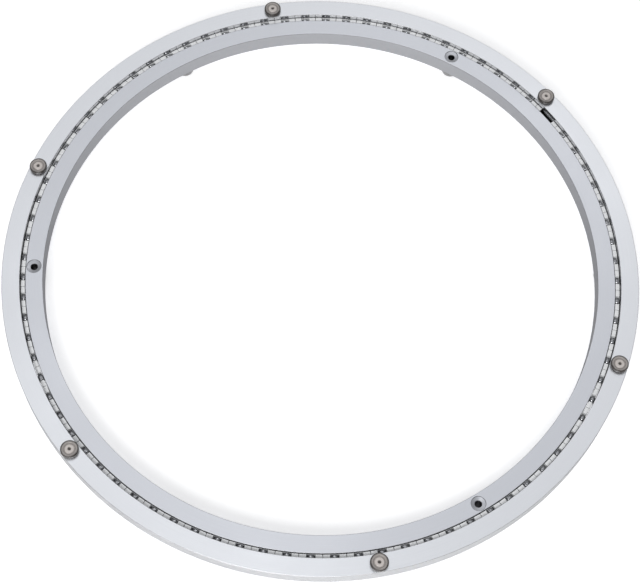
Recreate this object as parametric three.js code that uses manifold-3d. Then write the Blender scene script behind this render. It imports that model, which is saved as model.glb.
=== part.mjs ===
// Lazy susan turntable bearing: two flat aluminium rings that turn on one row of steel balls.
// The outer ring carries the tray on rubber pads, and the inner ring stands on rubber feet.
// A split plastic cage spaces the balls in the narrow gap between the rings.
//
// Millimetres and degrees. +Z is up, the axis of the rings is the Z axis, and the feet stand on z = 0.

import * as THREE from 'three';
import { mergeVertices } from 'three/addons/utils/BufferGeometryUtils.js';
import Module from 'manifold-3d';

// Driving dimensions

const OUTER_RING = { outerRadius: 200.0, innerRadius: 188.8, height: 11.6, chamfer: 0.5 };
const INNER_RING = { outerRadius: 185.6, innerRadius: 174.7, height: 12.0, chamfer: 0.5 };
const RING_STEP = 2.3; // the outer ring's top face stands this far above the inner ring's
const RING_SEGMENTS = 80;

const BALL = { count: 83, radius: 2.5, belowInnerTop: 4.3, modelEvery: 2 };
const RACEWAY = { radius: 2.95, segments: 3 };

const CAGE = {
  width: 2.5, // along the ring's radius
  belowInnerTop: 0.8,
  height: 7.4,
  pocketRadius: 2.85,
  mouthHalfWidth: 2.72, // a little narrower than the pocket
  pocketSegments: 6,
  blockShare: 0.61, // the part of each pitch that is plastic at the top
  slitWidth: 0.3,
  slitDepth: 3.4,
  gapDegrees: 3.57, // the open gap between the two ends of the strip
  gapCentreDegrees: 39.8,
};

const SCREW_HOLE = {
  count: 3,
  circleRadius: 180.0,
  firstDegrees: 63.8,
  boreRadius: 1.8,
  throatRadius: 2.0,
  throatDepth: 1.3, // where the bore's funnel ends
  seatRadius: 4.1,
  seatDepth: 0.4, // at the outer edge of the dished seat
  seatFloor: 1.0, // at the inner edge of the seat
};

const PAD = {
  count: 6,
  circleRadius: 194.5,
  firstDegrees: 42.7,
  radius: 5.5,
  height: 2.8,
  rimInnerRadius: 4.1,
  grooveDepth: 0.6,
  bossRadius: 2.3,
  bossBelowRim: 0.2,
  dimpleRadius: 0.9,
  dimpleDepth: 1.0,
  edge: 0.4,
  stemRadius: 2.0,
  stemLength: 3.2,
};

const FOOT = {
  count: 6,
  circleRadius: 181.0,
  firstDegrees: 3.6,
  topRadius: 6.0,
  bottomRadius: 5.6,
  height: 4.5,
  boreRadius: 2.6,
  edge: 0.6,
};

const SEAT_GAP = 0.3; // free space between two pieces that touch on the real object
const CUT_OVERRUN = 1; // how far a cutter runs past the face that it cuts
const WELD_TOLERANCE = 1e-5;
const SMALL_SEGMENTS = 12;

// Heights that follow from the driving dimensions

const innerBottom = FOOT.height;
const innerTop = innerBottom + INNER_RING.height;
const outerTop = innerTop + RING_STEP;
const outerBottom = outerTop - OUTER_RING.height;
const ballHeight = innerTop - BALL.belowInnerTop;
const ballCircle = (OUTER_RING.innerRadius + INNER_RING.outerRadius) / 2;
const cageTop = innerTop - CAGE.belowInnerTop;
const cageBottom = cageTop - CAGE.height;

// The strip is a row of pitches, each with a pocket in its middle, and one more block at its ends.
const pitchDegrees = (360 - CAGE.gapDegrees) / (BALL.count + CAGE.blockShare);
const firstBallDegrees =
  CAGE.gapCentreDegrees + CAGE.gapDegrees / 2 + (pitchDegrees * (1 + CAGE.blockShare)) / 2;

const ballDegrees = (index) => firstBallDegrees + index * pitchDegrees;
const evenDegrees = (row, index) => row.firstDegrees + (index * 360) / row.count;

// Materials

const aluminium = (color) => new THREE.MeshStandardMaterial({ color, roughness: 0.42, metalness: 0.9 });
const outerRingMaterial = aluminium(0xdcdfe4);
const innerRingMaterial = aluminium(0xc9ccd3);
const cageMaterial = new THREE.MeshStandardMaterial({ color: 0xeceef0, roughness: 0.5, metalness: 0 });
const ballMaterial = new THREE.MeshStandardMaterial({ color: 0xd4d6da, roughness: 0.1, metalness: 1 });
const padMaterial = new THREE.MeshStandardMaterial({ color: 0x8d837d, roughness: 0.55, metalness: 0 });
const footMaterial = new THREE.MeshStandardMaterial({ color: 0x77777a, roughness: 0.6, metalness: 0 });

// Solids: a geometry is joined and cut as a manifold solid and comes back as a geometry

const wasm = await Module();
wasm.setup();

function weld(geometry) {
  geometry.deleteAttribute('normal');
  geometry.deleteAttribute('uv');
  return mergeVertices(geometry, WELD_TOLERANCE);
}

function toSolid(geometry) {
  const welded = weld(geometry);
  return new wasm.Manifold(
    new wasm.Mesh({
      numProp: 3,
      vertProperties: new Float32Array(welded.attributes.position.array),
      triVerts: new Uint32Array(welded.index.array),
    }),
  );
}

function toGeometry(solid) {
  const mesh = solid.getMesh();
  const geometry = new THREE.BufferGeometry();
  geometry.setAttribute('position', new THREE.BufferAttribute(mesh.vertProperties, 3));
  geometry.setIndex(new THREE.BufferAttribute(mesh.triVerts, 1));
  geometry.computeVertexNormals();
  return geometry;
}

// A profile of [radius, height] points turned about the Z axis. It lists its points anticlockwise.
function turned(profile, segments) {
  const points = profile.map(([radius, height]) => new THREE.Vector2(radius, height));
  return new THREE.LatheGeometry(points, segments).rotateX(Math.PI / 2);
}

function closed(profile) {
  return [...profile, profile[0]];
}

// The point of the XY plane at this angle on a circle, at this height
function onCircle(radius, degrees, height) {
  const angle = THREE.MathUtils.degToRad(degrees);
  return new THREE.Vector3(radius * Math.cos(angle), radius * Math.sin(angle), height);
}

function placedCutter(profile, position) {
  return toSolid(turned(profile, SMALL_SEGMENTS).translate(position.x, position.y, position.z));
}

// The raceway's arc in one wall: points from one side of the wall's mouth to the other.
// Side is +1 for the outer ring, whose groove opens inwards, and -1 for the inner ring.
function racewayArc(side) {
  const halfGap = (OUTER_RING.innerRadius - INNER_RING.outerRadius) / 2;
  const reach = Math.acos(halfGap / RACEWAY.radius);
  const points = [];
  for (let step = 0; step <= RACEWAY.segments; step += 1) {
    const angle = reach * ((2 * step) / RACEWAY.segments - 1);
    points.push([
      ballCircle + side * RACEWAY.radius * Math.cos(angle),
      ballHeight - side * RACEWAY.radius * Math.sin(angle),
    ]);
  }
  return points;
}

// A flat ring's section: four chamfered corners and the raceway in one wall
function ringProfile(ring, bottom, top, side) {
  const { outerRadius: outer, innerRadius: inner, chamfer } = ring;
  const innerArc = side > 0 ? racewayArc(side) : [];
  const outerArc = side < 0 ? racewayArc(side) : [];
  return closed([
    [inner + chamfer, bottom],
    [outer - chamfer, bottom],
    [outer, bottom + chamfer],
    ...outerArc,
    [outer, top - chamfer],
    [outer - chamfer, top],
    [inner + chamfer, top],
    [inner, top - chamfer],
    ...innerArc,
    [inner, bottom + chamfer],
  ]);
}

// Outer ring: the blind hole under each pad takes the pad's stem
function outerRing() {
  let solid = toSolid(turned(ringProfile(OUTER_RING, outerBottom, outerTop, 1), RING_SEGMENTS));
  const depth = PAD.stemLength + SEAT_GAP;
  const radius = PAD.stemRadius + SEAT_GAP;
  const hole = [
    [0, -depth],
    [radius, -depth],
    [radius, CUT_OVERRUN],
    [0, CUT_OVERRUN],
  ];
  for (let index = 0; index < PAD.count; index += 1) {
    const position = onCircle(PAD.circleRadius, evenDegrees(PAD, index), outerTop);
    solid = solid.subtract(placedCutter(hole, position));
  }
  return toGeometry(solid);
}

// Inner ring: the screw holes go right through, each with a dished seat for the screw's head
function innerRing() {
  let solid = toSolid(turned(ringProfile(INNER_RING, innerBottom, innerTop, -1), RING_SEGMENTS));
  const { boreRadius, throatRadius, throatDepth, seatRadius, seatDepth, seatFloor } = SCREW_HOLE;
  const floor = -INNER_RING.height - CUT_OVERRUN;
  const hole = [
    [0, floor],
    [boreRadius, floor],
    [boreRadius, -throatDepth],
    [throatRadius, -seatFloor],
    [seatRadius, -seatDepth],
    [seatRadius, CUT_OVERRUN],
    [0, CUT_OVERRUN],
  ];
  for (let index = 0; index < SCREW_HOLE.count; index += 1) {
    const position = onCircle(SCREW_HOLE.circleRadius, evenDegrees(SCREW_HOLE, index), innerTop);
    solid = solid.subtract(placedCutter(hole, position));
  }
  return toGeometry(solid);
}

// Ball cage: a flat comb outline is thickened and bent round the ball circle, one pitch at a time

const toArcLength = (degrees) => THREE.MathUtils.degToRad(degrees) * ballCircle;
const halfPitch = toArcLength(pitchDegrees) / 2;
const slitFloor = cageTop - CAGE.slitDepth;

// One pitch, from the slit before a pocket to the slit after it
function pocketOutline() {
  const halfSlit = CAGE.slitWidth / 2;
  const mouth = CAGE.mouthHalfWidth;
  const lip = Math.acos(mouth / CAGE.pocketRadius);
  const outline = [
    [-halfPitch, cageBottom],
    [0, cageBottom],
    [halfPitch, cageBottom],
    [halfPitch, slitFloor],
    [halfPitch - halfSlit, slitFloor],
    [halfPitch - halfSlit, cageTop],
    [mouth, cageTop],
  ];
  for (let step = 0; step <= CAGE.pocketSegments; step += 1) {
    const angle = lip - ((Math.PI + 2 * lip) * step) / CAGE.pocketSegments;
    outline.push([
      CAGE.pocketRadius * Math.cos(angle),
      ballHeight + CAGE.pocketRadius * Math.sin(angle),
    ]);
  }
  outline.push(
    [-mouth, cageTop],
    [halfSlit - halfPitch, cageTop],
    [halfSlit - halfPitch, slitFloor],
    [-halfPitch, slitFloor],
  );
  return outline;
}

// Half a block, which ends the strip. It starts at a slit, and side is +1 where it runs anticlockwise.
function endOutline(side) {
  const halfBlock = halfPitch * CAGE.blockShare;
  const halfSlit = CAGE.slitWidth / 2;
  const outline = [
    [0, cageBottom],
    [halfBlock, cageBottom],
    [halfBlock, cageTop],
    [halfSlit, cageTop],
    [halfSlit, slitFloor],
    [0, slitFloor],
  ];
  return side > 0 ? outline : outline.map(([along, height]) => [-along, height]).reverse();
}

// An outline of [arc length, height] points becomes a solid piece of the strip, centred at this angle
function bentPiece(outline, degrees) {
  const shape = new THREE.Shape(outline.map(([along, height]) => new THREE.Vector2(along, height)));
  const geometry = new THREE.ExtrudeGeometry(shape, { depth: CAGE.width, bevelEnabled: false });
  const position = geometry.attributes.position;
  for (let index = 0; index < position.count; index += 1) {
    const angle = degrees + THREE.MathUtils.radToDeg(position.getX(index) / ballCircle);
    const radius = ballCircle - CAGE.width / 2 + position.getZ(index);
    const point = onCircle(radius, angle, position.getY(index));
    position.setXYZ(index, point.x, point.y, point.z);
  }
  return toSolid(geometry);
}

function ballCage() {
  const pieces = [];
  for (let index = 0; index < BALL.count; index += 1) {
    pieces.push(bentPiece(pocketOutline(), ballDegrees(index)));
  }
  pieces.push(bentPiece(endOutline(-1), ballDegrees(-0.5)));
  pieces.push(bentPiece(endOutline(1), ballDegrees(BALL.count - 0.5)));
  return toGeometry(pieces.reduce((strip, piece) => strip.add(piece)));
}

// Rubber pad: a disc with a raised rim, a ring groove, a centre boss with a dimple, and a stem below
function pad() {
  const top = PAD.height;
  const floor = top - PAD.grooveDepth;
  const boss = top - PAD.bossBelowRim;
  return turned(
    [
      [0, -PAD.stemLength],
      [PAD.stemRadius, -PAD.stemLength],
      [PAD.stemRadius, SEAT_GAP],
      [PAD.radius, SEAT_GAP],
      [PAD.radius, top - PAD.edge],
      [PAD.radius - PAD.edge, top],
      [PAD.rimInnerRadius, top],
      [PAD.rimInnerRadius - PAD.edge, floor],
      [PAD.bossRadius + PAD.edge, floor],
      [PAD.bossRadius, boss],
      [PAD.dimpleRadius, boss],
      [PAD.dimpleRadius, boss - PAD.dimpleDepth],
      [0, boss - PAD.dimpleDepth],
    ],
    SMALL_SEGMENTS,
  );
}

// Rubber foot: a short cone with a bore that the fixing screw passes through
function foot() {
  const top = FOOT.height - SEAT_GAP;
  return turned(
    closed([
      [FOOT.boreRadius, 0],
      [FOOT.bottomRadius - FOOT.edge, 0],
      [FOOT.bottomRadius, FOOT.edge],
      [FOOT.topRadius, top],
      [FOOT.boreRadius, top],
    ]),
    SMALL_SEGMENTS,
  );
}

// Assembly: three groups, one for each piece of the motion

function named(name, geometry, material, position = new THREE.Vector3()) {
  const mesh = new THREE.Mesh(geometry, material);
  mesh.name = name;
  mesh.position.copy(position);
  return mesh;
}

// The fixed base: the inner ring on its feet
function baseGroup() {
  const group = new THREE.Group();
  group.add(named('inner_ring', innerRing(), innerRingMaterial));
  const footGeometry = foot();
  for (let index = 0; index < FOOT.count; index += 1) {
    const position = onCircle(FOOT.circleRadius, evenDegrees(FOOT, index), 0);
    group.add(named(`foot_${index + 1}`, footGeometry, footMaterial, position));
  }
  return group;
}

// The turning part: the outer ring with its pads
function turntableGroup() {
  const group = new THREE.Group();
  group.add(named('outer_ring', outerRing(), outerRingMaterial));
  const padGeometry = pad();
  for (let index = 0; index < PAD.count; index += 1) {
    const position = onCircle(PAD.circleRadius, evenDegrees(PAD, index), outerTop);
    group.add(named(`top_pad_${index + 1}`, padGeometry, padMaterial, position));
  }
  return group;
}

// The cage with its balls. Every second ball is a solid of its own, which is as many as the model can hold.
function cageGroup() {
  const group = new THREE.Group();
  group.add(named('ball_cage', ballCage(), cageMaterial));
  const ballGeometry = new THREE.IcosahedronGeometry(BALL.radius, 1);
  for (let index = 0; index < BALL.count; index += BALL.modelEvery) {
    const position = onCircle(ballCircle, ballDegrees(index), ballHeight);
    const number = String(index + 1).padStart(2, '0');
    group.add(named(`ball_${number}`, ballGeometry, ballMaterial, position));
  }
  return group;
}

const lazySusan = new THREE.Group();
lazySusan.add(baseGroup(), turntableGroup(), cageGroup());

export default lazySusan;
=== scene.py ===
"""Looks of a lazy susan turntable bearing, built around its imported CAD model.

Two aluminium rings turn on one row of steel balls, which a split plastic cage spaces.
Rubber pads stand on the outer ring and rubber feet under the inner ring.
Each piece is rebuilt as a fine mesh of the CAD part's own size and place.

Metres and radians. +Z is up, and the axis of the rings is the Z axis.
"""

import math

import bmesh
import bpy
from mathutils import Matrix, Vector


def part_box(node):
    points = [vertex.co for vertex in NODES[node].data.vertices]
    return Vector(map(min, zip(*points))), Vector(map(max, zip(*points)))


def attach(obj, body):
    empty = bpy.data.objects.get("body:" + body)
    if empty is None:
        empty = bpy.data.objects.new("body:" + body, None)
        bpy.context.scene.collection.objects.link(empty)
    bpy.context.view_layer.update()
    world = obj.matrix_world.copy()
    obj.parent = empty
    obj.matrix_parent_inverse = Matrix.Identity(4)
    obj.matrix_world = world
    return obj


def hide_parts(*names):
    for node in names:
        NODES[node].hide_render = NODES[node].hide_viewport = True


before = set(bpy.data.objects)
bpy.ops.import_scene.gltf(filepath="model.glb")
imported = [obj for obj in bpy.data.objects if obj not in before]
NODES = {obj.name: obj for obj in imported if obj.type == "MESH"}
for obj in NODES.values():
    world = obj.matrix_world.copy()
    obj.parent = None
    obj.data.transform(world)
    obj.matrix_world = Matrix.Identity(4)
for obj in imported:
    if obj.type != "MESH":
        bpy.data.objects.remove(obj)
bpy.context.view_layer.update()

MM = 0.001
UP = Vector((0, 0, 1))

# Detail of the meshes that the CAD solids leave out

RING_SEGMENTS = 360
SMALL_SEGMENTS = 72
FILLET_STEPS = 4
RING_FILLET = 0.35 * MM
HOLE_FILLET = 0.15 * MM
SEAT_DEPTH = 1.3 * MM  # from a screw hole's rim to the foot of its dished seat
SEAT_FLOOR = 1.0 * MM  # the depth of the seat where the bore's funnel starts
SEAT_EDGE = 0.4 * MM  # the depth of the seat under its rim
BORE_SHARE = 0.44  # the bore's radius as a share of the seat's
FUNNEL_SHARE = 0.49  # the funnel's radius as a share of the seat's
PAD_HOLE_DEPTH = 3.5 * MM
HOLE_MARGIN = 2 * MM  # the least distance between a hole and a ring's wall
HOLE_SPACING = 20 * MM  # points of a ring's face closer than this belong to one hole
FLAT_SLOPE = 0.9  # a face with this much of its normal upright is flat
RACEWAY_CLEARANCE = 0.45 * MM  # between a ball and the groove that it rolls in
RACEWAY_STEPS = 12
CUT_OVERRUN = 1 * MM  # how far a cutter runs past the face that it cuts
SHARP_EDGE = math.radians(35)

SLIT_WIDTH = 0.3 * MM
SLIT_DEPTH = 3.4 * MM
POCKET_CLEARANCE = 0.35 * MM
MOUTH_CLEARANCE = 0.22 * MM
POCKET_STEPS = 20
CAGE_CORNER = 0.25 * MM
CAGE_RIM = 0.22 * MM
CAGE_RIM_STEPS = 3
BALL_SUBDIVISIONS = 4

# Pads and feet: radii as shares of the piece's own, and depths

PAD_STEM_SHARE = 0.38
PAD_RIM_SHARE = 0.72  # the inner edge of the raised rim
PAD_GROOVE_SHARES = (0.66, 0.54)  # the outer and inner edge of the groove's floor
PAD_BOSS_SHARE = 0.46
PAD_DIMPLE_SHARES = (0.19, 0.15)  # the dimple's mouth and floor
PAD_SEAT_GAP = 0.3 * MM
PAD_GROOVE_DEPTH = 0.55 * MM
PAD_CROWN_DEPTH = 0.1 * MM
PAD_DIMPLE_DEPTH = 0.8 * MM
FOOT_TAPER = 0.93  # the foot's radius at its base as a share of its widest

# The camera: its place from the centre of the outer ring's top face, and its aim

CAMERA_DISTANCE = 4.798  # in radii of the outer ring
CAMERA_ELEVATION = math.radians(64.0)
CAMERA_ROLL = math.radians(3.15)
CAMERA_TILT = math.radians(-1.0425)
CAMERA_PAN = math.radians(0.0575)
CAMERA_LENS = 85.75
CAMERA_SENSOR = 36

# The studio

FLOOR_RADIUS = 6.0
FLOOR_GLOW = 0.45  # light that the floor gives off, so that it stays pale under the rings
OVERHEAD = (0, 0.26, 0.966)  # the brightest direction of the dome, a little behind the vertical
DOME_COLOUR = (0.74, 0.75, 0.77, 1)
BACKDROP_COLOUR = (0.93, 0.93, 0.94, 1)
HORIZON_MIDDLE = 0.32
HORIZON_SIDES = 0.12
STRIP_HEADING = math.radians(30)


# Measures read from the CAD nodes


def centre_of(name):
    low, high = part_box(name)
    return (low + high) / 2


def heights(name):
    low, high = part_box(name)
    return low.z, high.z


def angle_of(point):
    return math.atan2(point.y, point.x)


def distances(name, centre=Vector((0, 0, 0))):
    """Distance of each vertex of a CAD node from the vertical line through this centre."""
    vertices = NODES[name].data.vertices
    return [(vertex.co - centre).xy.length for vertex in vertices]


def numbered(prefix):
    """The CAD nodes called prefix and a number."""
    names = [name for name in NODES if name.startswith(prefix)]
    return sorted(name for name in names if name[len(prefix):].isdigit())


BALL_NODES = numbered("ball_")
BALL_COUNT = 2 * len(BALL_NODES) - 1  # the CAD model holds every second ball
BALL_CENTRE = centre_of(BALL_NODES[0])
BALL_RADIUS = max((vertex.co - BALL_CENTRE).length for vertex in NODES[BALL_NODES[0]].data.vertices)
BALL_CIRCLE = BALL_CENTRE.xy.length
FIRST_ANGLE = angle_of(BALL_CENTRE)
PITCH_ANGLE = (angle_of(centre_of(BALL_NODES[1])) - FIRST_ANGLE) / 2
MIDDLE_ANGLE = FIRST_ANGLE + PITCH_ANGLE * (BALL_COUNT - 1) / 2


def strip_half_span():
    """Half the angle that the cage's strip covers, from the middle ball to the strip's end."""
    spans = []
    for vertex in NODES["ball_cage"].data.vertices:
        turn = angle_of(vertex.co) - MIDDLE_ANGLE
        spans.append(abs(math.remainder(turn, math.tau)))
    return max(spans)


# Outlines: lists of 2D points


def turn_at(before, corner, after):
    """How far a path turns at this corner, positive anticlockwise."""
    return (corner - before).angle_signed(after - corner) * -1


def fillet(before, corner, after, radius):
    """The points of the arc that replaces a corner, as large as its sides allow."""
    turn = abs(turn_at(before, corner, after))
    room = 0.45 * min((corner - before).length, (after - corner).length)
    reach = min(radius * math.tan(turn / 2), room)
    start = corner + (before - corner).normalized() * reach
    end = corner + (after - corner).normalized() * reach
    points = []
    for step in range(FILLET_STEPS + 1):
        share = step / FILLET_STEPS
        near = start.lerp(corner, share)
        far = corner.lerp(end, share)
        points.append(near.lerp(far, share))
    return points


def rounded(points, radius, closed):
    """The path with a fillet at each corner. The ends of an open path stay as they are.

    A point may hold a third number, which is the radius of its own fillet.
    """
    radii = [point[2] if len(point) == 3 else radius for point in points]
    points = [Vector(point[:2]) for point in points]
    count = len(points)
    result = []
    for index, corner in enumerate(points):
        before = points[index - 1]
        after = points[(index + 1) % count]
        is_end = not closed and index in (0, count - 1)
        if is_end or abs(turn_at(before, corner, after)) < SHARP_EDGE:
            result.append(corner)
        else:
            result.extend(fillet(before, corner, after, radii[index]))
    return result


def arc(centre, radius, start, end, steps):
    points = []
    for step in range(steps + 1):
        angle = start + (end - start) * step / steps
        points.append(centre + radius * Vector((math.cos(angle), math.sin(angle))))
    return points


# Meshes


def mesh_object(name, builder):
    """An object from a bmesh, smooth but for its sharp edges."""
    bmesh.ops.recalc_face_normals(builder, faces=builder.faces)
    mesh = bpy.data.meshes.new(name)
    builder.to_mesh(mesh)
    builder.free()
    mesh.polygons.foreach_set("use_smooth", [True] * len(mesh.polygons))
    mesh.set_sharp_from_angle(angle=SHARP_EDGE)
    piece = bpy.data.objects.new(name, mesh)
    bpy.context.scene.collection.objects.link(piece)
    return piece


def apply_modifiers(piece):
    """Replaces the piece's mesh by what its modifiers make of it."""
    graph = bpy.context.evaluated_depsgraph_get()
    mesh = bpy.data.meshes.new_from_object(piece.evaluated_get(graph))
    piece.modifiers.clear()
    piece.data = mesh


def weight_normals(piece):
    """Keeps the flat faces flat beside their rounded edges."""
    modifier = piece.modifiers.new("weighted_normals", "WEIGHTED_NORMAL")
    modifier.keep_sharp = True
    apply_modifiers(piece)


def lathe(name, profile, segments, closed):
    """A profile of [radius, height] points turned about the Z axis.

    A closed profile makes a ring. An open one starts and ends on the axis.
    """
    builder = bmesh.new()
    rows = []
    for radius, height in profile:
        if radius < 1e-9:
            rows.append([builder.verts.new((0, 0, height))] * segments)
            continue
        row = []
        for index in range(segments):
            angle = math.tau * index / segments
            row.append(builder.verts.new((radius * math.cos(angle), radius * math.sin(angle), height)))
        rows.append(row)
    following = rows[1:] + rows[:1] if closed else rows[1:]
    for row, upper in zip(rows, following):
        for index in range(segments):
            right = (index + 1) % segments
            corners = dict.fromkeys((row[index], row[right], upper[right], upper[index]))
            builder.faces.new(corners)
    return mesh_object(name, builder)


def cut(piece, cutters):
    """Cuts the cutters out of the piece and removes them."""
    for cutter in cutters:
        modifier = piece.modifiers.new("cut", "BOOLEAN")
        modifier.operation = "DIFFERENCE"
        modifier.solver = "EXACT"
        modifier.object = cutter
    bpy.context.view_layer.update()
    apply_modifiers(piece)
    for cutter in cutters:
        bpy.data.objects.remove(cutter)
    piece.data.set_sharp_from_angle(angle=SHARP_EDGE)


# Node trees


class Tree:
    """A node tree in the making. Inputs are given as values or as sockets to link."""

    def __init__(self, tree):
        self.tree = tree
        tree.nodes.clear()

    def feed(self, socket, value):
        if isinstance(value, bpy.types.NodeSocket):
            self.tree.links.new(value, socket)
        else:
            socket.default_value = value

    def add(self, kind, inputs=None, **settings):
        node = self.tree.nodes.new(kind)
        for name, value in settings.items():
            setattr(node, name, value)
        for key, value in (inputs or {}).items():
            self.feed(node.inputs[key], value)
        return node

    def math(self, operation, first, second=0.0):
        return self.add("ShaderNodeMath", {0: first, 1: second}, operation=operation).outputs[0]

    def vector(self, operation, first, second=(0, 0, 0)):
        return self.add("ShaderNodeVectorMath", {0: first, 1: second}, operation=operation)

    def noise(self, point, scale, detail=2.0, distortion=0.0):
        inputs = {"Vector": point, "Scale": scale, "Detail": detail, "Distortion": distortion}
        return self.add("ShaderNodeTexNoise", inputs).outputs["Fac"]

    def spread(self, value, low, high, start=0.3, end=0.7):
        """A value from start to end becomes one from low to high."""
        inputs = {"Value": value, "From Min": start, "From Max": end, "To Min": low, "To Max": high}
        return self.add("ShaderNodeMapRange", inputs).outputs[0]

    def blend(self, share, first, second):
        node = self.add("ShaderNodeMix", data_type="RGBA")
        self.feed(node.inputs[0], share)
        self.feed(node.inputs[6], first)
        self.feed(node.inputs[7], second)
        return node.outputs[2]

    def ramp(self, value, stops):
        """A colour that runs through the stops, which are [place, colour] with places from 0 to 1."""
        node = self.add("ShaderNodeValToRGB", {0: value})
        elements = node.color_ramp.elements
        while len(elements) < len(stops):
            elements.new(0.5)
        for element, (place, colour) in zip(elements, stops):
            element.position = place
            element.color = shade(colour, 1)
        return node.outputs[0]

    def bump(self, height, strength, distance):
        inputs = {"Height": height, "Strength": strength, "Distance": distance}
        return self.add("ShaderNodeBump", inputs).outputs["Normal"]

    def surface(self, inputs):
        shader = self.add("ShaderNodeBsdfPrincipled", inputs)
        self.add("ShaderNodeOutputMaterial", {"Surface": shader.outputs[0]})


def shade(colour, factor):
    return (*(channel * factor for channel in colour), 1.0)


def new_material(name):
    material = bpy.data.materials.new(name)
    material.use_nodes = True
    return material, Tree(material.node_tree)


# Materials


def turned_marks(tree, point):
    """Fine lines that run round the Z axis, as a lathe leaves them."""
    flat = tree.vector("MULTIPLY", point, (1, 1, 0)).outputs[0]
    radius = tree.vector("LENGTH", flat).outputs["Value"]
    height = tree.add("ShaderNodeSeparateXYZ", {0: point}).outputs["Z"]
    across = tree.math("MULTIPLY", tree.math("ADD", radius, height), 2600.0)
    around = tree.vector("SCALE", tree.vector("NORMALIZE", flat).outputs[0])
    around.inputs["Scale"].default_value = 5.0
    lines = tree.add("ShaderNodeCombineXYZ", {"Z": across}).outputs[0]
    return tree.noise(tree.vector("ADD", around.outputs[0], lines).outputs[0], 1.0, 3.0)


def edge_share(tree):
    """How much a face slopes like a rounded edge: 1 at 45 degrees, 0 on a flat face or a wall."""
    normal = tree.add("ShaderNodeNewGeometry").outputs["Normal"]
    slope = tree.add("ShaderNodeSeparateXYZ", {0: normal}).outputs["Z"]
    square = tree.math("MULTIPLY", slope, slope)
    rest = tree.math("SUBTRACT", 1.0, square)
    return tree.math("MULTIPLY", tree.math("MULTIPLY", square, rest), 4.0)


def aluminium(name, colour, roughness, brushing=0.0, grazing=0.25):
    """Satin anodised aluminium with fine turning marks, soft clouding and painted shade darkening its
    rounded edges.

    Brushing is how far its gloss spreads across the turning marks, and grazing is how
    bright it is when seen edge on.
    """
    material, tree = new_material(name)
    point = tree.add("ShaderNodeTexCoord").outputs["Object"]
    marks = turned_marks(tree, point)
    clouds = tree.noise(point, 22.0, 3.0, 0.4)
    grain = tree.noise(point, 2400.0, 2.0)
    mottle = tree.math("ADD", tree.math("MULTIPLY", marks, 0.5), tree.math("MULTIPLY", clouds, 0.5))
    tone = tree.blend(tree.spread(mottle, 0.0, 1.0), shade(colour, 0.965), shade(colour, 1.03))
    edges = edge_share(tree)
    # painted shade: where a face slopes like a rounded edge, the colour darkens towards a third of
    # itself
    painted_edge_shade = tree.blend(tree.math("MULTIPLY", edges, 0.8), tone, shade(colour, 0.3))
    gloss = tree.spread(mottle, roughness - 0.05, roughness + 0.05)
    relief = tree.math("ADD", marks, tree.math("MULTIPLY", grain, 0.5))
    around = tree.add("ShaderNodeTangent", direction_type="RADIAL", axis="Z").outputs[0]
    tree.surface({
        "Base Color": painted_edge_shade,
        "Metallic": 1.0,
        "Roughness": gloss,
        "Specular Tint": (grazing, grazing, grazing, 1),
        "Normal": tree.bump(relief, 0.12, 0.02 * MM),
        "Anisotropic": brushing,
        "Anisotropic Rotation": 0.25,
        "Tangent": around,
    })
    return material


def painted_shade_groove():
    """The raceway's finish: aluminium rolled smooth by the balls, painted dark as the shade of the
    narrow gap. The screw holes' bores take it too, as painted shade.
    """
    return aluminium("painted_shade_groove", (0.16, 0.16, 0.165), 0.30)


def raceway_land():
    """The finish of the narrow walls above and below the raceway, turned finer than the rest."""
    return aluminium("raceway_land", (0.78, 0.785, 0.80), 0.22, 0.0, 0.5)


def nylon(name, colour):
    """Moulded plastic with a fine grain and faint flow marks."""
    material, tree = new_material(name)
    point = tree.add("ShaderNodeTexCoord").outputs["Object"]
    flow = tree.noise(point, 160.0, 3.0, 1.0)
    grain = tree.noise(point, 1800.0, 3.0)
    tree.surface({
        "Base Color": tree.blend(tree.spread(flow, 0.0, 1.0), shade(colour, 0.95), shade(colour, 1.02)),
        "Roughness": tree.spread(grain, 0.36, 0.48),
        "Normal": tree.bump(grain, 0.25, 0.05 * MM),
    })
    return material


def polished_steel():
    """Polished ball-bearing steel with a trace of oil film, its colour darkened as painted shade for
    the pockets.
    """
    material, tree = new_material("polished_steel")
    point = tree.add("ShaderNodeTexCoord").outputs["Object"]
    film = tree.noise(point, 500.0, 2.0, 0.6)
    # painted shade: darker than bright bearing steel, so that the balls read dark in their pockets
    colour = (0.38, 0.385, 0.40)
    tree.surface({
        "Base Color": tree.blend(tree.spread(film, 0.0, 1.0), shade(colour, 0.93), shade(colour, 1.05)),
        "Metallic": 1.0,
        "Roughness": 0.08,
    })
    return material


def rubber(name, radius, bands):
    """Glossy moulded rubber. Bands are [share of the radius, colour] from its axis outwards."""
    material, tree = new_material(name)
    point = tree.add("ShaderNodeTexCoord").outputs["Object"]
    flat = tree.vector("MULTIPLY", point, (1, 1, 0)).outputs[0]
    share = tree.math("DIVIDE", tree.vector("LENGTH", flat).outputs["Value"], radius)
    flecks = tree.noise(point, 900.0, 3.0)
    clouds = tree.noise(point, 260.0, 2.0)
    wavering = tree.math("ADD", share, tree.spread(clouds, -0.03, 0.03))
    body = tree.ramp(wavering, bands)
    tree.surface({
        "Base Color": tree.blend(tree.spread(flecks, 0.0, 0.06), body, (0.6, 0.58, 0.55, 1)),
        "Roughness": tree.spread(flecks, 0.24, 0.34),
        "Normal": tree.bump(flecks, 0.10, 0.05 * MM),
        "Coat Weight": 0.3,
        "Coat Roughness": 0.12,
    })
    return material


# Rings


def raceway(side):
    """The groove's arc in a ring's wall. Side is 1 for the outer ring and -1 for the inner one."""
    radius = BALL_RADIUS + RACEWAY_CLEARANCE
    half_gap = (min(distances("outer_ring")) - max(distances("inner_ring"))) / 2
    reach = math.acos(half_gap / radius)
    centre = Vector((BALL_CIRCLE, BALL_CENTRE.z))
    if side > 0:
        return arc(centre, radius, reach, -reach, RACEWAY_STEPS)
    return arc(centre, radius, math.pi + reach, math.pi - reach, RACEWAY_STEPS)


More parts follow.
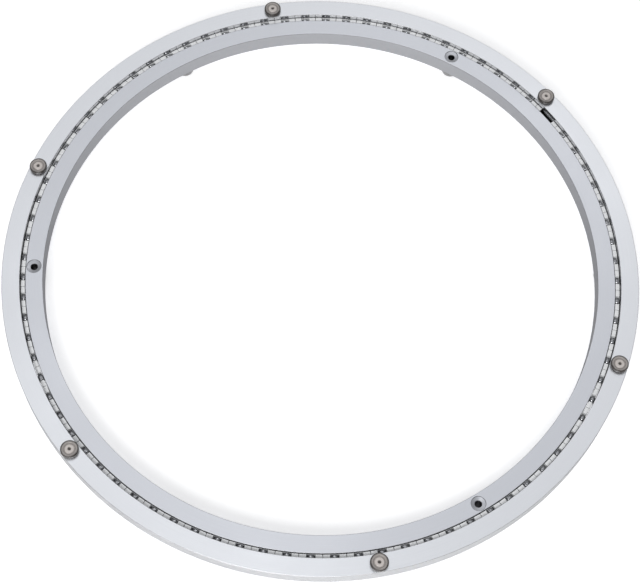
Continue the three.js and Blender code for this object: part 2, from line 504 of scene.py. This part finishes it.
def ring_profile(name, side):
    """A ring's section, anticlockwise: a rectangle with round corners and the groove in one wall."""
    inner, outer = min(distances(name)), max(distances(name))
    bottom, top = heights(name)
    corners = rounded([(inner, bottom), (outer, bottom), (outer, top), (inner, top)], RING_FILLET, True)
    half = len(corners) // 2
    if side > 0:
        return corners + raceway(side)
    return corners[:half] + raceway(side) + corners[half:]


def in_raceway(point):
    across = point.xy.length - BALL_CIRCLE
    up = point.z - BALL_CENTRE.z
    return math.hypot(across, up) < BALL_RADIUS + RACEWAY_CLEARANCE


def finish_ring(piece, node, *finishes):
    """The finishes are for flat faces, walls, painted shade in the raceway groove and the screw holes'
    bores, and the smooth walls along the raceway.
    """
    weight_normals(piece)
    for material in finishes:
        piece.data.materials.append(material)
    bottom, top = heights(node)
    inner = min(distances(node)) + HOLE_MARGIN
    outer = max(distances(node)) - HOLE_MARGIN
    for polygon in piece.data.polygons:
        centre = polygon.center
        flat = abs(polygon.normal.z) > FLAT_SLOPE
        depth = min(top - centre.z, centre.z - bottom)
        beside_gap = abs(centre.xy.length - BALL_CIRCLE) < BALL_RADIUS
        # painted shade: the raceway groove and the bores below the screw seats take the dark finish
        if in_raceway(centre):
            polygon.material_index = 2
        elif inner < centre.xy.length < outer and depth > SEAT_DEPTH:
            polygon.material_index = 2
        elif beside_gap and depth > RING_FILLET:
            polygon.material_index = 3
        else:
            polygon.material_index = 0 if flat else 1


def rim_centres(name):
    """Where a ring's flat top face is pierced: the centre and radius of each round hole."""
    top = heights(name)[1]
    inner, outer = min(distances(name)) + HOLE_MARGIN, max(distances(name)) - HOLE_MARGIN
    rims = []
    for vertex in NODES[name].data.vertices:
        if abs(vertex.co.z - top) > 1e-5 or not inner < vertex.co.xy.length < outer:
            continue
        near = [rim for rim in rims if (rim[0] - vertex.co).length < HOLE_SPACING]
        if near:
            near[0].append(vertex.co)
        else:
            rims.append([vertex.co])
    holes = []
    for rim in rims:
        centre = sum(rim, Vector((0, 0, 0))) / len(rim)
        holes.append((centre, max((point - centre).length for point in rim)))
    return holes


def placed(piece, position, angle=0.0):
    piece.location = position
    piece.rotation_euler.z = angle
    return piece


def outer_ring():
    face = aluminium("outer_ring_face", (0.86, 0.875, 0.905), 0.36, 0.5, 0.9)
    # painted light: the walls take a lighter copy of the face's aluminium
    wall = aluminium("outer_ring_wall_painted_light", (0.92, 0.925, 0.94), 0.40)
    ring = lathe("outer_ring_turned", ring_profile("outer_ring", 1), RING_SEGMENTS, True)
    cutters = []
    for centre, radius in rim_centres("outer_ring"):
        floor = -PAD_HOLE_DEPTH
        profile = [(0, floor), (radius, floor), (radius, CUT_OVERRUN), (0, CUT_OVERRUN)]
        cutters.append(placed(lathe("pad_hole", profile, SMALL_SEGMENTS, False), centre))
    cut(ring, cutters)
    finish_ring(ring, "outer_ring", face, wall, painted_shade_groove(), raceway_land())
    return ring


def inner_ring():
    face = aluminium("inner_ring_face", (0.72, 0.735, 0.775), 0.36, 0.5, 0.9)
    # painted shade: the walls take a darker copy of the face's aluminium
    wall = aluminium("inner_ring_wall_painted_shade", (0.44, 0.445, 0.465), 0.42)
    ring = lathe("inner_ring_turned", ring_profile("inner_ring", -1), RING_SEGMENTS, True)
    bottom, top = heights("inner_ring")
    cutters = []
    for centre, seat in rim_centres("inner_ring"):
        profile = screw_hole_profile(seat, bottom - top - CUT_OVERRUN)
        cutters.append(placed(lathe("screw_hole", profile, SMALL_SEGMENTS, False), centre))
    cut(ring, cutters)
    finish_ring(ring, "inner_ring", face, wall, painted_shade_groove(), raceway_land())
    return ring


def screw_hole_profile(seat, floor):
    """A through hole with a dished seat of this radius round it, and a rounded edge at the top."""
    edge = HOLE_FILLET
    points = [
        (0, floor),
        (seat * BORE_SHARE, floor),
        (seat * BORE_SHARE, -SEAT_DEPTH, 0.1 * MM),
        (seat * FUNNEL_SHARE, -SEAT_FLOOR, 0.2 * MM),
        (seat - edge, -SEAT_EDGE, 0.2 * MM),
        (seat - edge, -edge),
        (seat, 0),
        (seat, CUT_OVERRUN),
        (0, CUT_OVERRUN),
    ]
    return rounded(points, 0.01 * MM, False)


# Cage strip: outlines of [along, height] points, thickened with a rounded rim and bent round the balls


def outward(points, index):
    """The direction out of the plastic at a point of a path that has the plastic on its right."""
    before = points[max(index - 1, 0)]
    point = points[index]
    after = points[min(index + 1, len(points) - 1)]
    directions = [(point - before), (after - point)]
    directions = [direction.normalized() for direction in directions if direction.length > 1e-9]
    tangent = sum(directions, Vector((0, 0))).normalized()
    stretch = max(directions[0].dot(tangent), 0.5)
    return Vector((-tangent.y, tangent.x)) / stretch


def rim_steps(half_width):
    """The rim's cross-section from one side of the strip to the other: [inset, across] pairs."""
    side = []
    for step in range(CAGE_RIM_STEPS + 1):
        angle = math.pi / 2 * step / CAGE_RIM_STEPS
        inset = CAGE_RIM * (1 - math.sin(angle))
        side.append((inset, half_width - CAGE_RIM * (1 - math.cos(angle))))
    return side + [(inset, -across) for inset, across in reversed(side)]


def bent(along, height, across, angle):
    """A point of the flat strip, on the ball circle."""
    turn = angle + along / BALL_CIRCLE
    radius = BALL_CIRCLE + across
    return radius * math.cos(turn), radius * math.sin(turn), height


def add_strip_part(builder, chains, angle, half_width):
    """One part of the strip from the chains that bound it, each with the plastic on its right."""
    sides = [[], []]
    for chain in chains:
        rows = []
        for index, point in enumerate(chain):
            normal = outward(chain, index)
            row = []
            for inset, across in rim_steps(half_width):
                edge = point - normal * inset
                row.append(builder.verts.new(bent(edge.x, edge.y, across, angle)))
            rows.append(row)
        for row, following in zip(rows, rows[1:]):
            for index in range(len(row) - 1):
                builder.faces.new((row[index], row[index + 1], following[index + 1], following[index]))
        sides[0].extend(row[0] for row in rows)
        sides[1].extend(row[-1] for row in rows)
    for side in sides:
        builder.faces.new(side)


def pocket_chains(half_pitch, bottom, top):
    """The upper and lower edge of one pitch, from the slit before a ball to the slit after it."""
    half_slit = SLIT_WIDTH / 2
    slit_floor = top - SLIT_DEPTH
    radius = BALL_RADIUS + POCKET_CLEARANCE
    mouth = BALL_RADIUS + MOUTH_CLEARANCE
    lip = math.acos(mouth / radius)
    pocket = arc(Vector((0, BALL_CENTRE.z)), radius, math.pi - lip, math.tau + lip, POCKET_STEPS)
    start = [
        (-half_pitch, slit_floor),
        (half_slit - half_pitch, slit_floor),
        (half_slit - half_pitch, top),
        (-mouth, top),
    ]
    end = [(-along, height) for along, height in reversed(start)]
    upper = rounded([*start, *pocket, *end], CAGE_CORNER, False)
    lower = [Vector((along, bottom)) for along in (half_pitch, 0, -half_pitch)]
    return [upper, lower]


def end_chain(half_block, bottom, top, side):
    """Half a block, which ends the strip. Side is 1 where it runs anticlockwise."""
    half_slit = SLIT_WIDTH / 2
    slit_floor = top - SLIT_DEPTH
    points = [
        (0, slit_floor),
        (half_slit, slit_floor),
        (half_slit, top),
        (half_block, top),
        (half_block, bottom),
        (0, bottom),
    ]
    if side < 0:
        points = [(-along, height) for along, height in reversed(points)]
    return rounded(points, CAGE_CORNER, False)


def in_pocket(polygon):
    """True for a face that looks into a ball's pocket."""
    centre = polygon.center
    pitches = round((angle_of(centre) - FIRST_ANGLE) / PITCH_ANGLE)
    ball = on_circle(BALL_CIRCLE, FIRST_ANGLE + pitches * PITCH_ANGLE, BALL_CENTRE.z)
    towards = ball - centre
    radial = Vector((*centre.xy.normalized(), 0))
    towards -= radial * towards.dot(radial)
    is_near = towards.length < BALL_RADIUS + POCKET_CLEARANCE + CAGE_RIM
    return is_near and polygon.normal.dot(towards.normalized()) > 0.5


def cage_strip():
    half_width = (max(distances("ball_cage")) - min(distances("ball_cage"))) / 2
    bottom, top = heights("ball_cage")
    half_pitch = PITCH_ANGLE * BALL_CIRCLE / 2
    half_block = (strip_half_span() - BALL_COUNT * PITCH_ANGLE / 2) * BALL_CIRCLE
    builder = bmesh.new()
    for index in range(BALL_COUNT):
        angle = FIRST_ANGLE + index * PITCH_ANGLE
        add_strip_part(builder, pocket_chains(half_pitch, bottom, top), angle, half_width)
    for side in (-1, 1):
        angle = MIDDLE_ANGLE + side * BALL_COUNT * PITCH_ANGLE / 2
        add_strip_part(builder, [end_chain(half_block, bottom, top, side)], angle, half_width)
    bmesh.ops.remove_doubles(builder, verts=builder.verts, dist=0.001 * MM)
    bmesh.ops.triangulate(builder, faces=[face for face in builder.faces if len(face.verts) > 4])
    strip = mesh_object("cage_strip", builder)
    weight_normals(strip)
    strip.data.materials.append(nylon("white_nylon", (0.88, 0.89, 0.90)))
    # painted shade: the faces that look into the balls' pockets are near black
    strip.data.materials.append(nylon("pocket_shade_nylon", (0.06, 0.06, 0.06)))
    for polygon in strip.data.polygons:
        polygon.material_index = 1 if in_pocket(polygon) else 0
    return strip


# Balls, pads and feet


def ball_mesh():
    builder = bmesh.new()
    bmesh.ops.create_icosphere(builder, subdivisions=BALL_SUBDIVISIONS, radius=BALL_RADIUS)
    ball = mesh_object("ball_shape", builder)
    ball.data.materials.append(polished_steel())
    mesh = ball.data
    bpy.data.objects.remove(ball)
    return mesh


def on_circle(radius, angle, height):
    return Vector((radius * math.cos(angle), radius * math.sin(angle), height))


def add_balls():
    """All the balls. Each stands for its own CAD node, where the CAD model has one."""
    mesh = ball_mesh()
    for index in range(BALL_COUNT):
        ball = bpy.data.objects.new(f"steel_ball_{index + 1:02d}", mesh)
        bpy.context.scene.collection.objects.link(ball)
        angle = FIRST_ANGLE + index * PITCH_ANGLE
        placed(ball, on_circle(BALL_CIRCLE, angle, BALL_CENTRE.z), angle)
        node = f"ball_{index + 1:02d}"
        put(ball, "cage", "balls", *([node] if node in NODES else []))


def pad_profile(name):
    """A pad's section from the end of its stem, up its side, to the dimple in its middle."""
    centre = centre_of(name)
    radius = max(distances(name, centre))
    ring_top = heights("outer_ring")[1]
    bottom, top = (height - ring_top for height in heights(name))
    stem = radius * PAD_STEM_SHARE
    groove_outer, groove_inner = (radius * share for share in PAD_GROOVE_SHARES)
    mouth, pit_radius = (radius * share for share in PAD_DIMPLE_SHARES)
    groove = top - PAD_GROOVE_DEPTH
    crown = top - PAD_CROWN_DEPTH
    pit = crown - PAD_DIMPLE_DEPTH
    points = [
        (0, bottom),
        (stem, bottom),
        (stem, PAD_SEAT_GAP, 0.1 * MM),
        (radius, PAD_SEAT_GAP),
        (radius, top, 1.1 * MM),
        (radius * PAD_RIM_SHARE, top, 0.3 * MM),
        (groove_outer, groove),
        (groove_inner, groove),
        (radius * PAD_BOSS_SHARE, crown, 0.4 * MM),
        (mouth, crown, 0.2 * MM),
        (pit_radius, pit),
        (0, pit),
    ]
    return rounded(points, 0.25 * MM, False)


def foot_profile(name):
    """A foot's section, anticlockwise: a short cone with a bore."""
    bottom, top = heights(name)
    spans = distances(name, centre_of(name))
    bore, wide = min(spans), max(spans)
    narrow = wide * FOOT_TAPER
    points = [(bore, bottom), (narrow, bottom), (wide, top), (bore, top)]
    return rounded(points, 0.6 * MM, True)


def add_row(prefix, name, shape, body, slot, height):
    """A piece of this shape at each CAD node of the row, turned to face out from the axis."""
    for node in numbered(prefix):
        centre = centre_of(node)
        piece = bpy.data.objects.new(f"{name}_{node[len(prefix):]}", shape.data)
        bpy.context.scene.collection.objects.link(piece)
        placed(piece, Vector((centre.x, centre.y, height)), angle_of(centre))
        put(piece, body, slot, node)
    bpy.data.objects.remove(shape)


def add_pads():
    shape = lathe("pad_shape", pad_profile("top_pad_1"), SMALL_SEGMENTS, False)
    radius = max(distances("top_pad_1", centre_of("top_pad_1")))
    # painted shade and painted highlights: a dark dimple, dark groove and dark sides, with a light boss
    # and rim, stand in for how the pad is lit
    bands = [
        (0.0, (0.04, 0.03, 0.025)),
        (0.13, (0.05, 0.04, 0.035)),
        (0.22, (0.60, 0.55, 0.52)),
        (0.46, (0.64, 0.59, 0.56)),
        (0.60, (0.20, 0.18, 0.17)),
        (0.72, (0.42, 0.39, 0.37)),
        (0.82, (0.26, 0.24, 0.23)),
        (0.92, (0.025, 0.018, 0.015)),
    ]
    shape.data.materials.append(rubber("pad_rubber", radius, bands))
    add_row("top_pad_", "rubber_pad", shape, "turntable", "pads", heights("outer_ring")[1])


def add_feet():
    shape = lathe("foot_shape", foot_profile("foot_1"), SMALL_SEGMENTS, True)
    radius = max(distances("foot_1", centre_of("foot_1")))
    bands = [(0.4, (0.12, 0.12, 0.12)), (1.0, (0.22, 0.22, 0.225))]
    shape.data.materials.append(rubber("foot_rubber", radius, bands))
    add_row("foot_", "rubber_foot", shape, "base", "feet", 0)


def put(piece, body, slot, *nodes):
    """The piece moves with a body and stands for these CAD nodes. The slot is not used."""
    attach(piece, body)
    if nodes:
        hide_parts(*nodes)


# Surroundings


def add_floor():
    """A pale round floor, far wider than the object."""
    builder = bmesh.new()
    bmesh.ops.create_circle(builder, cap_ends=True, segments=96, radius=FLOOR_RADIUS)
    floor = mesh_object("floor", builder)
    material, tree = new_material("pale_floor")
    point = tree.add("ShaderNodeTexCoord").outputs["Object"]
    grain = tree.noise(point, 60.0, 2.0)
    tree.surface({
        "Base Color": tree.blend(grain, (0.88, 0.88, 0.885, 1), (0.90, 0.90, 0.905, 1)),
        "Roughness": 0.7,
        "Specular IOR Level": 0.2,
        "Emission Color": (1, 1, 1, 1),
        "Emission Strength": FLOOR_GLOW,
    })
    floor.data.materials.append(material)


def add_world():
    """A studio dome: bright overhead and a little behind, dimmer low down, and dimmest at the sides."""
    world = bpy.data.worlds.new("studio")
    bpy.context.scene.world = world
    world.use_nodes = True
    tree = Tree(world.node_tree)
    direction = tree.add("ShaderNodeTexCoord").outputs["Generated"]
    parts = tree.add("ShaderNodeSeparateXYZ", {0: direction})
    sideways = tree.math("ABSOLUTE", parts.outputs["X"])
    horizon = tree.spread(sideways, HORIZON_MIDDLE, HORIZON_SIDES, 0.25, 0.80)
    facing = tree.vector("DOT_PRODUCT", direction, OVERHEAD).outputs["Value"]
    above = tree.spread(facing, 0.0, 1.0, 0.72, 0.90)
    dome = tree.blend(above, horizon, DOME_COLOUR)
    light = tree.add("ShaderNodeBackground", {"Color": dome, "Strength": 1.0})
    backdrop = tree.add("ShaderNodeBackground", {"Color": BACKDROP_COLOUR, "Strength": 1.0})
    seen = tree.add("ShaderNodeLightPath").outputs["Is Camera Ray"]
    mixed = tree.add("ShaderNodeMixShader", {0: seen, 1: light.outputs[0], 2: backdrop.outputs[0]})
    tree.add("ShaderNodeOutputWorld", {"Surface": mixed.outputs[0]})


def add_softbox(name, position, length, width, heading, power):
    """A rectangular softbox aimed at the middle of the rings, with its length along a heading."""
    data = bpy.data.lights.new(name, "AREA")
    data.shape = "RECTANGLE"
    data.size = length
    data.size_y = width
    data.energy = power
    light = bpy.data.objects.new(name, data)
    bpy.context.scene.collection.objects.link(light)
    back = Vector(position).normalized()
    along = Vector((math.cos(heading), math.sin(heading), 0))
    side = back.cross(along).normalized()
    along = side.cross(back)
    turn = Matrix((along, side, back)).transposed().to_4x4()
    light.matrix_world = Matrix.Translation(position) @ turn


def add_camera():
    reach = CAMERA_DISTANCE * max(distances("outer_ring"))
    place = Matrix.Translation(UP * heights("outer_ring")[1])
    orbit = Matrix.Rotation(math.pi / 2 - CAMERA_ELEVATION, 4, "X")
    back = Matrix.Translation(UP * reach)
    roll = Matrix.Rotation(CAMERA_ROLL, 4, "Z")
    tilt = Matrix.Rotation(CAMERA_TILT, 4, "X")
    pan = Matrix.Rotation(CAMERA_PAN, 4, "Y")
    data = bpy.data.cameras.new("camera")
    data.lens = CAMERA_LENS
    data.sensor_width = CAMERA_SENSOR
    camera = bpy.data.objects.new("camera", data)
    bpy.context.scene.collection.objects.link(camera)
    camera.matrix_world = place @ orbit @ back @ roll @ tilt @ pan
    bpy.context.scene.camera = camera


add_camera()
add_floor()
add_world()
add_softbox("front_softbox", (-0.3, -1.4, 1.5), 1.1, 0.9, 0, 23)
add_softbox("strip_light", (0, 1.05, 2.16), 1.8, 0.35, STRIP_HEADING, 1.6)
bpy.context.scene.view_settings.view_transform = "Standard"

put(outer_ring(), "turntable", "outer_ring", "outer_ring")
put(inner_ring(), "base", "inner_ring", "inner_ring")
put(cage_strip(), "cage", "cage", "ball_cage")
add_balls()
add_pads()
add_feet()
